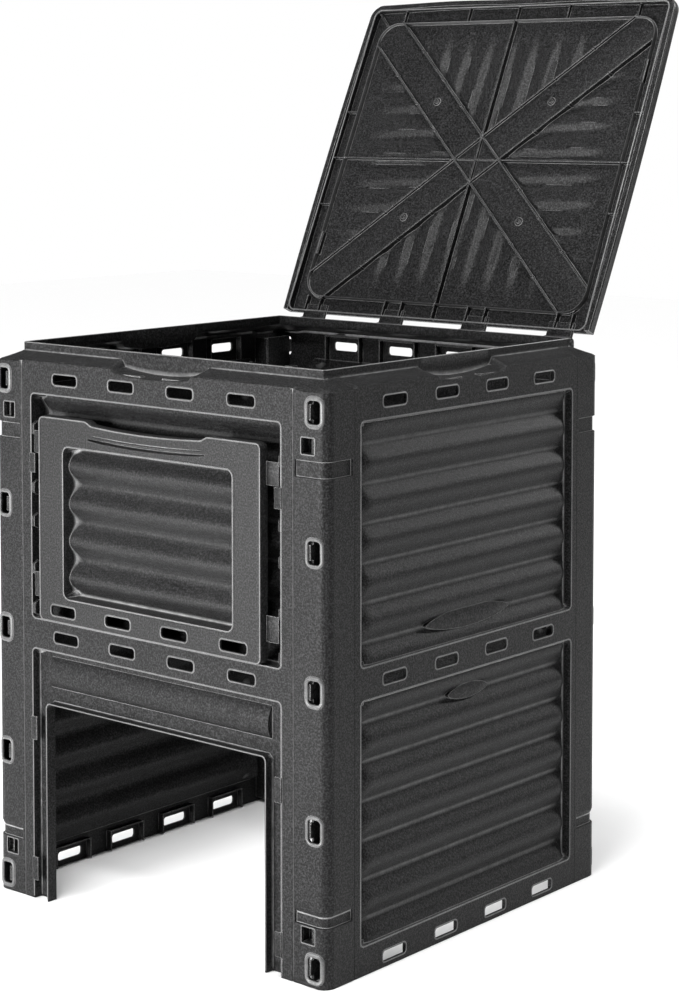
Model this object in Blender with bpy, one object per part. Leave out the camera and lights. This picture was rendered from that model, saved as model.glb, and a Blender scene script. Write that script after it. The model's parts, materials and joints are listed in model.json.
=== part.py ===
"""Square lift-lid compost bin, stood open: lid tipped back, emptying door parked high.

Metres, +Z up.  The front (door side) faces -Y and +X is the right-hand side.
"""
import math

import bmesh
import bpy
from mathutils import Matrix, Vector

MM = 0.001

# Body, in millimetres.
HALF_W = 310.0
HALF_D = 301.0
CORNER_R = 16.0
WALL = 3.0
FACE_TOP = 761.8
POST_TOP = 758.6
LIP_INSET = 29.4
LIP_BASE = 772.0
LIP_TOP = 783.5
LIP_CORNER_R = 2.0
LIP_STEP = 5.0
LIP_RETURN = 8.0
LIP_SPREAD = 4.0
SEAM = 246.0
SEAM_GAP = 0.5
STEP = 0.2

# Recessed windows and their corrugation.
WINDOW_HALF = 232.4
UPPER_WINDOW = (402.0, 715.6)
LOWER_WINDOW = (39.5, 356.4)
WAVES = 6
WAVE_SEGMENTS = 6
SIDE_CREST = 2.5
SIDE_TROUGH = 12.0
FRONT_CREST = 20.0
FRONT_TROUGH = 33.0
ARCH_RECESS = 12.5
ARCH_HALF = 205.3
ARCH_TOP = 281.0
RIDGE = (304.0, 346.0)
RIDGE_HEIGHT = 8.0

# Vent slots, latch loops, post grooves and finger scoops.
SLOT_X = (55.2, 165.2)
SLOT_HALF = (24.0, 7.0)
SLOT_Z = (14.3, 378.8, 739.0)
LOOP_X = (280.0, 292.0)
LOOP_Z = (24.0, 201.9, 379.2, 556.5, 733.8)
LOOP_HALF = (12.0, 15.0, 15.0, 15.0, 15.0)
PEG_X = (266.0, 286.0)
PEG_Z = ((55.0, 73.0), (680.0, 701.0))
GROOVE_X = 256.0
GROOVE_END = 250.0
GROOVE_Z = ((78.0, 100.0), (650.0, 671.0))
GROOVE_DEPTH = 5.0
SCOOP = ((31.2, 9.5), (79.2, 4.0), (88.0, 0.0))
LIP_SCOOP = ((31.2, 15.0), (79.2, 7.0), (88.0, 0.0))

# Tongues on the side panels that pass through the latch loops.
FLANGE_X = (281.5, 284.5)
FLANGE_Z = (6.0, 750.0)
FLANGE_ROOT = 243.0
FLANGE_FRONT = 296.0
FLANGE_NOTCH = 290.0
NOTCH_MARGIN = 5.0
TONGUE_FRONT = 302.0
TONGUE_HALF = 10.0
WEB_Y = (241.8, 244.8)
WEB_Z = (6.5, 749.5)
WEB_BITE = 1.5

# Emptying door, its lugs, and the rests and keepers that hold it.
DOOR_HALF = 208.0
DOOR_Z = (402.6, 689.0)
DOOR_FRONT = -311.0
DOOR_BACK = -297.0
DOOR_INNER_HALF = 157.5
DOOR_INNER_Z = (440.0, 648.0)
DOOR_WAVES = 4
DOOR_CREST = 10.0
DOOR_TROUGH = 25.0
DOOR_SLOT_Z = 420.0
DOOR_SLOT_X = (53.0, 160.0)
DOOR_DIP = ((40.0, 9.3), (104.0, 5.0), (116.0, 0.0))
LUG_Z = ((432.0, 466.0), (634.0, 665.0))
LUG_X = (206.0, 229.0)
LUG_Y = (-300.0, -296.9)
REST_Z = (605.0, 633.6)
KEEPER_Z = ((26.0, 60.0), (227.0, 261.0))
REST_X = (224.0, 234.0)
REST_Y = (-303.3, -295.5)
KEEPER_Y = (-303.3, -300.4)

# Lid and hinge.
HINGE_Y = 287.5
HINGE_Z = 775.0
LID_OPEN_DEG = 115.0
LID_HALF = 298.0
LID_FRONT = -564.5
LID_REAR = -20.0
LID_PLATE = (14.0, 17.0)
LID_SKIRT = 3.0
BAR_WIDTH = 58.0
BAR_REACH = 330.0
BAR_DROP = 3.0
BAR_BITE = 0.5
RING = (268.0, -530.0, -48.0)
RING_RIB = 2.5
RING_DROP = 8.0
RING_BITE = 1.2
KNUCKLE_X = (-237.0, -80.0, 80.0, 237.0)
KNUCKLE_HALF = 22.0
EAR_GAP = 0.6
EAR_THICK = 11.0
EAR_HALF = 6.3
EAR_FOOT = (766.0, 763.0)
KNUCKLE_ARM = ((-5.0, -3.0), (-12.0, 10.0), (-34.0, 10.5), (-34.0, 15.5), (-6.0, 15.5), (5.0, 3.0))
CUT_OVER = 5.0
BARREL_R = 6.5
BORE_R = 4.3
PIN_R = 4.0
PIN_OVER = 2.0
ROUND_SEGMENTS = 24

PLASTIC = {
    "front_panel": (0.062, 0.063, 0.066),
    "back_panel": (0.055, 0.056, 0.058),
    "left_panel": (0.050, 0.051, 0.053),
    "right_panel": (0.050, 0.051, 0.053),
    "emptying_door": (0.068, 0.069, 0.072),
    "lid": (0.040, 0.041, 0.043),
    "hinge_pin": (0.030, 0.030, 0.032),
}


def clear_scene():
    for obj in list(bpy.data.objects):
        bpy.data.objects.remove(obj, do_unlink=True)


def plastic(name, colour, roughness):
    mat = bpy.data.materials.new(name)
    mat.use_nodes = True
    shader = mat.node_tree.nodes["Principled BSDF"]
    shader.inputs["Base Color"].default_value = (*colour, 1.0)
    shader.inputs["Roughness"].default_value = roughness
    shader.inputs["Metallic"].default_value = 0.0
    return mat


def add_object(name, bm, key=None, roughness=0.55):
    bmesh.ops.recalc_face_normals(bm, faces=bm.faces)
    mesh = bpy.data.meshes.new(name)
    bm.to_mesh(mesh)
    bm.free()
    obj = bpy.data.objects.new(name, mesh)
    bpy.context.scene.collection.objects.link(obj)
    if key:
        mesh.materials.append(plastic(name + "_plastic", PLASTIC[key], roughness))
    return obj


def wave(z, low, high, count, crest, trough):
    phase = (z - low) / (high - low) * count
    return crest + (trough - crest) * 0.5 * (1.0 - math.cos(2.0 * math.pi * phase))


def paired(values):
    """Sort (outer, inner) stations and keep both strictly rising."""
    out = []
    for outer, inner in sorted(values):
        if out and outer - out[-1][0] < 0.05:
            continue
        if out and inner < out[-1][1] + STEP:
            inner = out[-1][1] + STEP
        out.append((outer, inner))
    return out


def window_rows(low, high, count):
    rows = [(low, low - WALL), (low + STEP, low - WALL + STEP)]
    rows += [(high - STEP, high + WALL - STEP), (high, high + WALL)]
    steps = count * WAVE_SEGMENTS
    rows += [(low + (high - low) * k / steps,) * 2 for k in range(1, steps)]
    return rows


def shell(bm, outer, inner, holes):
    """Close two matching grids of points into one walled body, leaving the hole cells out."""
    n_u = len(outer)
    n_v = len(outer[0])
    top = [[bm.verts.new(p) for p in column] for column in outer]
    low = [[bm.verts.new(p) for p in column] for column in inner]
    solid = {(i, j) for i in range(n_u - 1) for j in range(n_v - 1)} - holes
    for i, j in solid:
        ring = ((i, j), (i + 1, j), (i + 1, j + 1), (i, j + 1))
        bm.faces.new([top[a][b] for a, b in ring])
        bm.faces.new([low[a][b] for a, b in reversed(ring)])
        neighbours = ((i, j - 1), (i + 1, j), (i, j + 1), (i - 1, j))
        for k, other in enumerate(neighbours):
            if other in solid:
                continue
            a = ring[k]
            b = ring[(k + 1) % 4]
            bm.faces.new([top[b[0]][b[1]], top[a[0]][a[1]], low[a[0]][a[1]], low[b[0]][b[1]]])
    loose = [v for v in bm.verts if not v.link_faces]
    bmesh.ops.delete(bm, geom=loose, context="VERTS")


def flatten(bm):
    """Merge coplanar cells so that the flat areas carry few faces."""
    bmesh.ops.dissolve_limit(
        bm, angle_limit=math.radians(0.05), verts=bm.verts, edges=bm.edges, delimit={"NORMAL"}
    )
    bmesh.ops.triangulate(bm, faces=bm.faces, ngon_method="BEAUTY")


def cells(columns, rows, u_range, v_range):
    found = set()
    for i in range(len(columns) - 1):
        for j in range(len(rows) - 1):
            u_mid = 0.5 * (columns[i][0] + columns[i + 1][0])
            v_mid = 0.5 * (rows[j][0] + rows[j + 1][0])
            if u_range[0] < u_mid < u_range[1] and v_range[0] < v_mid < v_range[1]:
                found.add((i, j))
    return found


def scoop_drop(x, table):
    """Depth of a finger scoop whose floor is given by (half width, drop) pairs."""
    x = abs(x)
    last = (0.0, table[0][1])
    for half, drop in table:
        if x <= half:
            span = max(half - last[0], 1e-6)
            return last[1] + (drop - last[1]) * (x - last[0]) / span
        last = (half, drop)
    return 0.0


def in_groove(z, grow):
    return any(low - grow < z < high + grow for low, high in GROOVE_Z)


def face_depth(x, z, grow, arched):
    """Depth of the front or back moulding behind its face plane."""
    if abs(x) > GROOVE_X - grow and in_groove(z, grow):
        return GROOVE_DEPTH
    if abs(x) >= WINDOW_HALF + grow:
        return 0.0
    low, high = UPPER_WINDOW
    if low - grow < z < high + grow:
        z = min(max(z, low), high)
        if arched:
            return wave(z, low, high, WAVES, FRONT_CREST, FRONT_TROUGH)
        return wave(z, low, high, WAVES, SIDE_CREST, SIDE_TROUGH)
    if arched:
        if z >= LOWER_WINDOW[1] + grow:
            return 0.0
        if abs(x) < ARCH_HALF + 0.5 and RIDGE[0] < z < RIDGE[1]:
            turn = (z - RIDGE[0]) / (RIDGE[1] - RIDGE[0])
            return ARCH_RECESS - RIDGE_HEIGHT * math.sin(math.pi * turn)
        return ARCH_RECESS
    low, high = LOWER_WINDOW
    if low - grow < z < high + grow:
        z = min(max(z, low), high)
        return wave(z, low, high, WAVES, SIDE_CREST, SIDE_TROUGH)
    return 0.0


def body_rows(arched):
    rows = [(0.0, 0.0)]
    rows += [(z + s * SLOT_HALF[1],) * 2 for z in SLOT_Z for s in (-1, 1)]
    rows += [(z + s * h,) * 2 for z, h in zip(LOOP_Z, LOOP_HALF) for s in (-1, 1)]
    rows += [(z, z) for pair in PEG_Z for z in pair]
    for low, high in GROOVE_Z:
        rows += [(low, low - WALL), (low + STEP, low - WALL + STEP)]
        rows += [(high - STEP, high + WALL - STEP), (high, high + WALL)]
    rows += window_rows(*UPPER_WINDOW, WAVES)
    if arched:
        high = LOWER_WINDOW[1]
        rows += [(high - STEP, high + WALL - STEP), (high, high + WALL), (ARCH_TOP, ARCH_TOP)]
        rows += [(RIDGE[0] + (RIDGE[1] - RIDGE[0]) * k / 6,) * 2 for k in range(7)]
    else:
        rows += window_rows(*LOWER_WINDOW, WAVES)
    return paired(rows)


def half_columns():
    columns = [(x + s * SLOT_HALF[0],) * 2 for x in SLOT_X for s in (-1, 1)]
    columns += [(SCOOP[2][0],) * 2, (ARCH_HALF, ARCH_HALF), (ARCH_HALF + 3.0,) * 2]
    edge = WINDOW_HALF
    columns += [(edge - STEP, edge + WALL - STEP), (edge, edge + WALL)]
    return columns


def front_moulding(name, arched):
    """Front or back panel with its corner posts; the arched front has the finger scoop."""
    rows = body_rows(arched)
    half = half_columns()
    half += [(GROOVE_X - STEP, GROOVE_X - WALL - STEP), (GROOVE_X, GROOVE_X - WALL)]
    half += [(x, x) for x in (*LOOP_X, *PEG_X)]
    half = paired(half)
    flat_end = HALF_W - CORNER_R
    face = [(-a, -b) for a, b in reversed(half)] + half
    arc = [math.radians(a) for a in (0.0, 30.0, 60.0, 90.0)]
    returns = [(GROOVE_END, GROOVE_END - WALL), (GROOVE_END - STEP, GROOVE_END - WALL - STEP)]
    returns += [(SEAM, SEAM)]

    def corner(side, turn, depth, z):
        radius = CORNER_R - depth
        x = side * (flat_end + radius * math.sin(turn))
        return (x, -(HALF_D - CORNER_R) - radius * math.cos(turn), z)

    stations = [("side", -1, y) for y in reversed(returns)]
    stations += [("arc", -1, a) for a in reversed(arc)]
    stations += [("face", 0, x) for x in face]
    stations += [("arc", 1, a) for a in arc]
    stations += [("side", 1, y) for y in returns]

    def body_point(station, row, pick):
        kind, side, value = station
        z = row[pick]
        grow = WALL * pick
        skin = WALL * pick
        if kind == "face":
            x = value[pick]
            return (x, -HALF_D + face_depth(x, z, grow, arched) + skin, z)
        depth = skin + (GROOVE_DEPTH if in_groove(z, grow) else 0.0)
        if kind == "arc":
            return corner(side, value, depth, z)
        if value[0] < GROOVE_END - 0.5 * STEP:
            depth = skin
        return (side * (HALF_W - depth), -value[pick], z)

    def rim_point(station, level, pick):
        """Top edge of the face, foot of the lip and top of the lip."""
        kind, side, value = station
        inset = LIP_INSET + WALL * pick
        z = (0.0, LIP_BASE - WALL * pick, LIP_TOP)[level]
        if level == 0:
            x = value[0] if kind == "face" else HALF_W
            drop = scoop_drop(x, SCOOP) if arched else 0.0
            z = POST_TOP if abs(x) > GROOVE_X - 2.0 * STEP else FACE_TOP - drop
            point = body_point(station, (z, z - WALL), pick)
            return point
        if kind == "face":
            x = value[0]
            knee = WINDOW_HALF
            limit = HALF_W - inset - LIP_CORNER_R
            if abs(x) > knee:
                reach = (abs(x) - knee) / (flat_end - knee)
                x = math.copysign(knee + (limit - knee) * reach, x)
            if level == 1 and arched:
                z -= scoop_drop(value[0], LIP_SCOOP)
            return (x, -HALF_D + inset, z)
        if kind == "arc":
            x = side * (HALF_W - inset - LIP_CORNER_R * (1.0 - math.sin(value)))
            return (x, -(HALF_D - inset - LIP_CORNER_R) - LIP_CORNER_R * math.cos(value), z)
        spread = (value[0] - SEAM) / (GROOVE_END - SEAM)
        y = HALF_D - inset - LIP_STEP + LIP_CORNER_R * spread
        if value[0] == SEAM:
            y = HALF_D - LIP_INSET - LIP_RETURN
        return (side * (HALF_W - inset), -y, z)

    outer = []
    inner = []
    for station in stations:
        for pick, grid in ((0, outer), (1, inner)):
            column = [Vector(body_point(station, row, pick)) * MM for row in rows]
            column += [Vector(rim_point(station, k, pick)) * MM for k in range(3)]
            grid.append(column)

    first = len(returns) + len(arc)
    holes = set()
    wanted = [((s * x - SLOT_HALF[0], s * x + SLOT_HALF[0]), (z - SLOT_HALF[1], z + SLOT_HALF[1]))
              for x in SLOT_X for s in (-1, 1) for z in SLOT_Z if not (arched and z < 300.0)]
    for s in (-1, 1):
        loop = sorted((s * LOOP_X[0], s * LOOP_X[1]))
        peg = sorted((s * PEG_X[0], s * PEG_X[1]))
        wanted += [(loop, (z - h, z + h)) for z, h in zip(LOOP_Z, LOOP_HALF)]
        wanted += [(peg, pair) for pair in PEG_Z]
    if arched:
        wanted.append(((-ARCH_HALF, ARCH_HALF), (-1.0, ARCH_TOP)))
    for u_range, v_range in wanted:
        holes |= {(i + first, j) for i, j in cells(face, rows, u_range, v_range)}
    bm = bmesh.new()
    shell(bm, outer, inner, holes)
    flatten(bm)
    return add_object(name, bm, name)


def side_moulding(name, side):
    """Side panel between the seams, with its lip and shoulder mitred to the posts."""
    rows = body_rows(False)
    end = SEAM - SEAM_GAP
    half = paired(half_columns() + [(end, end)])
    columns = [(-a, -b) for a, b in reversed(half)] + half

    def depth_at(y, z, grow):
        if abs(y) >= WINDOW_HALF + grow:
            return 0.0
        for low, high in (UPPER_WINDOW, LOWER_WINDOW):
            if low - grow < z < high + grow:
                z = min(max(z, low), high)
                return wave(z, low, high, WAVES, SIDE_CREST, SIDE_TROUGH)
        return 0.0

    outer = []
    inner = []
    for column in columns:
        for pick, grid in ((0, outer), (1, inner)):
            y = column[pick]
            skin = WALL * pick
            points = []
            for row in rows:
                depth = depth_at(y, row[pick], skin) + skin
                points.append((side * (HALF_W - depth), y, row[pick]))
            z = FACE_TOP - scoop_drop(y, SCOOP)
            if abs(column[0]) > WINDOW_HALF + 1.0:
                z = POST_TOP
            points.append((side * (HALF_W - skin), y, z - skin))
            lip_y = y
            limit = HALF_D - LIP_INSET - LIP_RETURN - SEAM_GAP
            if abs(y) > WINDOW_HALF + WALL:
                lip_y = math.copysign(limit, y)
            elif abs(column[0]) > ARCH_HALF:
                lip_y = math.copysign(abs(y) + LIP_SPREAD, y)
            foot = LIP_BASE - skin - scoop_drop(y, LIP_SCOOP)
            points.append((side * (HALF_W - LIP_INSET - skin), lip_y, foot))
            points.append((side * (HALF_W - LIP_INSET - skin), lip_y, LIP_TOP))
            grid.append([Vector(p) * MM for p in points])
    holes = set()
    for x in SLOT_X:
        for s in (-1, 1):
            for z in SLOT_Z:
                u_range = (s * x - SLOT_HALF[0], s * x + SLOT_HALF[0])
                holes |= cells(columns, rows, u_range, (z - SLOT_HALF[1], z + SLOT_HALF[1]))
    bm = bmesh.new()
    shell(bm, outer, inner, holes)
    flatten(bm)
    panel = add_object(name, bm, name)
    for front in (-1, 1):
        join(panel, [flange(side, front), web(side, front)])
    return panel


def prism(name, polygon, low, high, axis):
    """Extrude a closed polygon along X (points are y, z) or along Z (points are x, y)."""
    bm = bmesh.new()

    def place(point, level):
        if axis == "X":
            return Vector((level, point[0], point[1])) * MM
        return Vector((point[0], point[1], level)) * MM

    bottom = [bm.verts.new(place(p, low)) for p in polygon]
    top = [bm.verts.new(place(p, high)) for p in polygon]
    bm.faces.new(bottom)
    bm.faces.new(list(reversed(top)))
    for k in range(len(polygon)):
        n = (k + 1) % len(polygon)
        bm.faces.new((bottom[k], top[k], top[n], bottom[n]))
    return add_object(name, bm)


def block(name, x_range, y_range, z_range):
    polygon = [(x_range[0], y_range[0]), (x_range[1], y_range[0])]
    polygon += [(x_range[1], y_range[1]), (x_range[0], y_range[1])]
    return prism(name, polygon, z_range[0], z_range[1], "Z")


def round_bar(name, radius, low, high, centre):
    turns = [2.0 * math.pi * k / ROUND_SEGMENTS for k in range(ROUND_SEGMENTS)]
    polygon = [(centre[0] + radius * math.cos(a), centre[1] + radius * math.sin(a)) for a in turns]
    return prism(name, polygon, low, high, "X")


def join(target, pieces, operation="UNION"):
    """Fold each piece into the target with an exact boolean, then drop it."""
    for piece in pieces:
        mod = target.modifiers.new("fold", "BOOLEAN")
        mod.operation = operation
        mod.solver = "EXACT"
        mod.object = piece
        bpy.context.view_layer.update()
        graph = bpy.context.evaluated_depsgraph_get()
        mesh = bpy.data.meshes.new_from_object(target.evaluated_get(graph))
        target.modifiers.clear()
        old = target.data
        target.data = mesh
        bpy.data.meshes.remove(old)
        bpy.data.objects.remove(piece, do_unlink=True)


def flange(side, front):
    """Inner flange with the row of tongues that the latch loops catch."""
    bottom, top = FLANGE_Z
    outline = [(front * FLANGE_ROOT, bottom)]
    reach = FLANGE_FRONT
    stops = []
    for z in LOOP_Z:
        stops.append((z - TONGUE_HALF, z + TONGUE_HALF, TONGUE_FRONT))
    for low, high in GROOVE_Z:
        stops.append((low - NOTCH_MARGIN, high + NOTCH_MARGIN, FLANGE_NOTCH))
    outline.append((front * reach, bottom))
    for low, high, out in sorted(stops):
        outline += [(front * reach, low), (front * out, low)]
        outline += [(front * out, high), (front * reach, high)]
    outline += [(front * reach, top), (front * FLANGE_ROOT, top)]
    low, high = sorted((side * FLANGE_X[0], side * FLANGE_X[1]))
    return prism("flange", outline, low, high, "X")


def web(side, front):
    """Web that ties the tongue flange to the panel's edge."""
    x_range = sorted((side * FLANGE_X[0], side * (HALF_W - WEB_BITE)))
    y_range = sorted(front * y for y in WEB_Y)
    return block("web", x_range, y_range, WEB_Z)


def emptying_door():
    half = [(x + s * SLOT_HALF[0],) * 2 for x in DOOR_SLOT_X for s in (-1, 1)]
    half += [(x, x) for x, _ in DOOR_DIP]
    half += [(DOOR_INNER_HALF - STEP, DOOR_INNER_HALF + WALL - STEP)]
    half += [(DOOR_INNER_HALF, DOOR_INNER_HALF + WALL)]
    half += [(DOOR_HALF - STEP, DOOR_HALF - WALL - STEP), (DOOR_HALF, DOOR_HALF - WALL)]
    half = paired(half)
    columns = [(-a, -b) for a, b in reversed(half)] + half
    low, high = DOOR_Z
    rows = window_rows(*DOOR_INNER_Z, DOOR_WAVES)
    rows += [(DOOR_SLOT_Z + s * SLOT_HALF[1],) * 2 for s in (-1, 1)]
    rows += [(low, low + WALL), (low + STEP, low + WALL + STEP)]
    rows += [(high - STEP, high - WALL - STEP), (high, high - WALL)]
    rows = paired(rows)
    edge_rows = (0, len(rows) - 1)
    edge_columns = (0, len(columns) - 1)

    def surface(i, j, pick):
        x = columns[i][pick]
        z = rows[j][pick]
        grow = WALL * pick
        y = DOOR_FRONT + WALL * pick
        in_low, in_high = DOOR_INNER_Z
        if i in edge_columns or j in edge_rows:
            y = DOOR_BACK
        elif abs(x) < DOOR_INNER_HALF + grow and in_low - grow < z < in_high + grow:
            level = min(max(z, in_low), in_high)
            y += wave(level, in_low, in_high, DOOR_WAVES, DOOR_CREST, DOOR_TROUGH)
        if j >= len(rows) - 2:
            z -= scoop_drop(x, DOOR_DIP)
        return Vector((x, y, z)) * MM

    span = range(len(columns))
    outer = [[surface(i, j, 0) for j in range(len(rows))] for i in span]
    inner = [[surface(i, j, 1) for j in range(len(rows))] for i in span]
    holes = set()
    for x in DOOR_SLOT_X:
        for s in (-1, 1):
            u_range = (s * x - SLOT_HALF[0], s * x + SLOT_HALF[0])
            v_range = (DOOR_SLOT_Z - SLOT_HALF[1], DOOR_SLOT_Z + SLOT_HALF[1])
            holes |= cells(columns, rows, u_range, v_range)
    bm = bmesh.new()
    shell(bm, outer, inner, holes)
    flatten(bm)
    door = add_object("emptying_door", bm, "emptying_door")
    for side in (-1, 1):
        x_range = sorted((side * LUG_X[0], side * LUG_X[1]))
        join(door, [block("lug", x_range, LUG_Y, z_range) for z_range in LUG_Z])
    return door


def add_door_stops(panel):
    """Rests under the parked door's lugs, and keepers for its closed position."""
    for side in (-1, 1):
        x_range = sorted((side * REST_X[0], side * REST_X[1]))
        pieces = [block("rest", x_range, REST_Y, REST_Z)]
        pieces += [block("keeper", x_range, KEEPER_Y, z_range) for z_range in KEEPER_Z]
        join(panel, pieces)


def add_ears(panel):
    """Two ears for each lid knuckle, standing on the rear shoulder."""
    near, far = HINGE_Y - EAR_HALF, HINGE_Y + EAR_HALF
    outline = [(near, HINGE_Z), (near, EAR_FOOT[0]), (far, EAR_FOOT[1]), (far, HINGE_Z)]
    for centre in KNUCKLE_X:
        for side in (-1, 1):
            start = centre + side * (KNUCKLE_HALF + EAR_GAP)
            low, high = sorted((start, start + side * EAR_THICK))
            foot = prism("ear", outline, low, high, "X")
            barrel = round_bar("barrel", BARREL_R, low, high, (HINGE_Y, HINGE_Z))
            join(foot, [barrel])
            bore = round_bar("bore", BORE_R, low - CUT_OVER, high + CUT_OVER, (HINGE_Y, HINGE_Z))
            join(foot, [bore], "DIFFERENCE")
            join(panel, [foot])


def lid():
    """Lid in its own closed frame, whose origin is the middle of the hinge axis."""
    plate_low, plate_high = LID_PLATE
    edge = LID_HALF
    columns = [(-edge, -edge + LID_SKIRT), (-edge + STEP, -edge + LID_SKIRT + STEP)]
    columns += [(edge - STEP, edge - LID_SKIRT - STEP), (edge, edge - LID_SKIRT)]
    rows = [(LID_FRONT, LID_FRONT + LID_SKIRT)]
    rows += [(LID_FRONT + STEP, LID_FRONT + LID_SKIRT + STEP), (LID_REAR, LID_REAR)]

    def surface(i, j, pick):
        x = columns[i][pick]
        y = rows[j][pick]
        rim = i in (0, 3) or j == 0
        return Vector((x, y, 0.0 if rim else (plate_high, plate_low)[pick])) * MM

    outer = [[surface(i, j, 0) for j in range(3)] for i in range(4)]
    inner = [[surface(i, j, 1) for j in range(3)] for i in range(4)]
    bm = bmesh.new()
    shell(bm, outer, inner, set())
    flatten(bm)
    cover = add_object("lid", bm, "lid", 0.45)
    middle_y = 0.5 * (RING[1] + RING[2])
    turn = math.atan2(RING[2] - middle_y, RING[0])
    bars = []
    for sign in (-1, 1):
        bar = block("bar", (-BAR_REACH, BAR_REACH), (-BAR_WIDTH / 2, BAR_WIDTH / 2),
                    (plate_low - BAR_DROP, plate_low + BAR_BITE * (1.0 + sign)))
        place = Matrix.Translation(Vector((0.0, middle_y, 0.0)) * MM)
        bar.data.transform(place @ Matrix.Rotation(sign * turn, 4, "Z"))
        bars.append(bar)
    join(cover, bars)
    level = (plate_low - RING_DROP, plate_low + RING_BITE)
    x_in = RING[0] - RING_RIB
    ring = block("ring", (-RING[0], RING[0]), (RING[1], RING[2]), level)
    core = block("core", (-x_in, x_in), (RING[1] + RING_RIB, RING[2] - RING_RIB),
                 (level[0] - CUT_OVER, level[1] + CUT_OVER))
    join(ring, [core], "DIFFERENCE")
    join(cover, [ring])
    for centre in KNUCKLE_X:
        low = centre - KNUCKLE_HALF
        high = centre + KNUCKLE_HALF
        knuckle = prism("knuckle", KNUCKLE_ARM, low, high, "X")
        join(knuckle, [round_bar("barrel", BARREL_R, low, high, (0.0, 0.0))])
        bore = round_bar("bore", BORE_R, low - CUT_OVER, high + CUT_OVER, (0.0, 0.0))
        join(knuckle, [bore], "DIFFERENCE")
        join(cover, [knuckle])
    return cover


def hinge_pins():
    pins = []
    reach = KNUCKLE_HALF + EAR_GAP + EAR_THICK + PIN_OVER
    for k, centre in enumerate(KNUCKLE_X, start=1):
        pin = round_bar(f"hinge_pin_{k}", PIN_R, -reach, reach, (0.0, 0.0))
        pin.data.materials.append(plastic(pin.name + "_plastic", PLASTIC["hinge_pin"], 0.5))
        pin.location = Vector((centre, HINGE_Y, HINGE_Z)) * MM
        pins.append(pin)
    return pins


def soften(obj):
    for polygon in obj.data.polygons:
        polygon.use_smooth = True
    obj.data.set_sharp_from_angle(angle=math.radians(35.0))


def world_box(objects):
    bpy.context.view_layer.update()
    points = [obj.matrix_world @ v.co for obj in objects for v in obj.data.vertices]
    low = Vector((min(p[k] for p in points) for k in range(3)))
    high = Vector((max(p[k] for p in points) for k in range(3)))
    return low, high


def main():
    clear_scene()
    front = front_moulding("front_panel", True)
    add_door_stops(front)
    back = front_moulding("back_panel", False)
    back.data.transform(Matrix.Rotation(math.pi, 4, "Z"))
    add_ears(back)
    right = side_moulding("right_panel", 1)
    left = side_moulding("left_panel", -1)
    door = emptying_door()
    cover = lid()
    cover.location = Vector((0.0, HINGE_Y, HINGE_Z)) * MM
    cover.rotation_euler = (-math.radians(LID_OPEN_DEG), 0.0, 0.0)
    pieces = [front, back, right, left, door, cover, *hinge_pins()]
    for piece in pieces:
        soften(piece)
    low, high = world_box(pieces)
    middle = Vector((0.5 * (low.x + high.x), 0.5 * (low.y + high.y), low.z))
    for piece in pieces:
        piece.location -= middle
    bpy.context.view_layer.update()


main()
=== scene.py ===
"""Looks of the square compost bin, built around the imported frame.

Shapes are drawn in millimetres in the body's own frame: x across the front, w outwards
from the middle of the body, z up.  Each panel is then turned to its side of the bin.
"""
import json
import math

import bmesh
import bpy
import numpy as np
from mathutils import Matrix, Vector


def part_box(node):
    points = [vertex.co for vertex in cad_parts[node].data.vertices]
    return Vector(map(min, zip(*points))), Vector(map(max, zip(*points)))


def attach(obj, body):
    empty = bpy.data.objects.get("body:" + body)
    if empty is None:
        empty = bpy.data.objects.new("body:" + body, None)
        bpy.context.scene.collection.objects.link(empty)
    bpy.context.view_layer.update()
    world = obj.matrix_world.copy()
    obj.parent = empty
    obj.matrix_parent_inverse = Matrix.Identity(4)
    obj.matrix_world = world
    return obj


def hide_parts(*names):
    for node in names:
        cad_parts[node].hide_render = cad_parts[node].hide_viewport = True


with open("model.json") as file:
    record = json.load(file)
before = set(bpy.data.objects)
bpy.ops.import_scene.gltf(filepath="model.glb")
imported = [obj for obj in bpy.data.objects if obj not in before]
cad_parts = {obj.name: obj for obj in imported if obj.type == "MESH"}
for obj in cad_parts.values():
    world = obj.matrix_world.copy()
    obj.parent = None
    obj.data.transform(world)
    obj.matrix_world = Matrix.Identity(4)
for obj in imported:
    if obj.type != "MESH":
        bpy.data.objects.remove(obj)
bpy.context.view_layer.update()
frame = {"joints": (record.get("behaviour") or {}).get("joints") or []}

MM = 0.001


def node_box(name):
    low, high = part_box(name)
    return np.array(low) / MM, np.array(high) / MM


LEFT_LOW, LEFT_HIGH = node_box("left_panel")
_, RIGHT_HIGH = node_box("right_panel")
_, BACK_HIGH = node_box("back_panel")
DOOR_LOW, _ = node_box("emptying_door")
BODY_Y = 0.5 * (LEFT_LOW[1] + LEFT_HIGH[1])
HALF_W = RIGHT_HIGH[0]
HALF_D = BACK_HIGH[1] - BODY_Y
LIP_TOP = RIGHT_HIGH[2]
HINGE = next(j for j in frame["joints"] if j["name"] == "lid_hinge")
HINGE_Y = HINGE["pos_m"][1] / MM
HINGE_Z = HINGE["pos_m"][2] / MM
LID_OPEN = HINGE["range_deg"][1]

# Body shell.
CORNER_R = 16.0
WALL = 3.0
FACE_TOP = 761.8
POST_TOP = 758.6
POST_DIP = (250.0, 270.0)
SIDE_DIP = (236.0, 244.0)
LIP_INSET = 29.4
LIP_BASE = 772.0
LIP_WALL = 3.0
LIP_CORNER_R = 2.5
LIP_RETURN = 8.0
LIP_KNEE = 236.0
SEAM = 246.2
SEAM_GAP = 0.7
CREASE_X = 253.4
EDGE_SCOOP = (78.0, 9.5)
LIP_SCOOP = (83.0, 16.0)
SCOOP_LINES = (71.0, 74.0, 77.0, 80.0)
TOP_SQUEEZE = 14.0

# Shoulder between the face's top edge and the lip: share of the way in, and lift.
CAP = ((0.0, 0.0), (0.03, 0.4), (0.1, 0.9), (0.35, 0.35), (0.65, 0.0), (0.93, 0.0), (0.985, 0.25),
       (1.0, 0.8))
CAP_DROP = 0.7
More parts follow.
